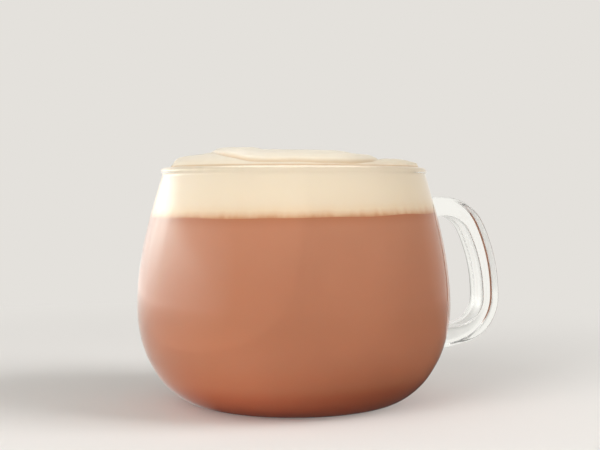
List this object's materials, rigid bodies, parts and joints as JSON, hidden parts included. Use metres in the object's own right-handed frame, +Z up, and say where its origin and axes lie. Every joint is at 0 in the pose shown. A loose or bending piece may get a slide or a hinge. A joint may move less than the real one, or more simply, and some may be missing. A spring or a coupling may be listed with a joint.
{
  "type": "mocha latte in a glass mug",
  "caption": "Round-bellied clear glass mug with a strap handle, filled with mocha latte and topped with a folded dome of milk foam that rises over the rim.",
  "frame": {"origin": "centre of the mug's base, on the surface it stands on", "axes": "+Z up, +X from the mug's axis towards the handle"},
  "size_m": [0.1229, 0.1, 0.0814],
  "materials": {
    "clear_glass": "polished",
    "latte": "smooth",
    "milk_foam": "fine foam"
  },
  "bodies": {
    "root": {"glass_mug": "clear_glass", "latte": "latte", "milk_foam": "milk_foam"}
  },
  "joints": []
}
